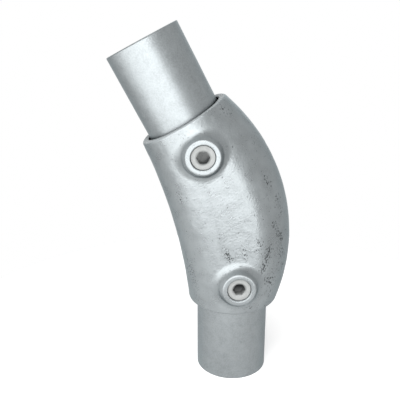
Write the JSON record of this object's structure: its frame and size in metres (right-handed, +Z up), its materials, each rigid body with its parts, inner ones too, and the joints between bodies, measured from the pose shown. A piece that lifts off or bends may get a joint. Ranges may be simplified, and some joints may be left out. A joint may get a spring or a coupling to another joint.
{
  "type": "adjustable tube clamp",
  "caption": "Hollow cast elbow that clamps two round tubes end to end at an adjustable angle, each tube held by a socket set screw in a raised boss.",
  "frame": {"origin": "centre of the lower tube's cut end face, which the part stands on", "axes": "+Z up along the lower tube; the bend lies in the XZ plane with the upper tube leaning to -X; the set screws face -Y"},
  "size_m": [0.117, 0.0665, 0.235],
  "materials": {
    "galvanised_casting": "hot-dip galvanised, light grey, fine orange-peel texture with dark pits",
    "galvanised_tube": "hot-dip galvanised tube, satin grey with a faint spangle",
    "set_screw": "satin case-hardened steel, warm grey protective coating"
  },
  "bodies": {
    "lower_tube": {"lower_tube": "galvanised_tube"},
    "casting": {"clamp_body": "galvanised_casting"},
    "upper_tube": {"upper_tube": "galvanised_tube"},
    "lower_set_screw": {"lower_set_screw": "set_screw"},
    "upper_set_screw": {"upper_set_screw": "set_screw"}
  },
  "joints": [
    {"name": "lower_collar_swing", "type": "hinge", "parent": "lower_tube", "child": "casting", "pos_m": [0, 0, 0.05325], "axis": [0, -1, 0], "range_deg": [-7.5, 15]},
    {"name": "upper_collar_swing", "type": "hinge", "parent": "casting", "child": "upper_tube", "pos_m": [-0.03287, 0, 0.17594], "axis": [0, -1, 0], "range_deg": [-4.8, 17.6]},
    {"name": "lower_set_screw_travel", "type": "slide", "parent": "casting", "child": "lower_set_screw", "axis": [0, -1, 0], "range_m": [0, 0.005]},
    {"name": "upper_set_screw_travel", "type": "slide", "parent": "casting", "child": "upper_set_screw", "axis": [0, -1, 0], "range_m": [0, 0.005]}
  ]
}
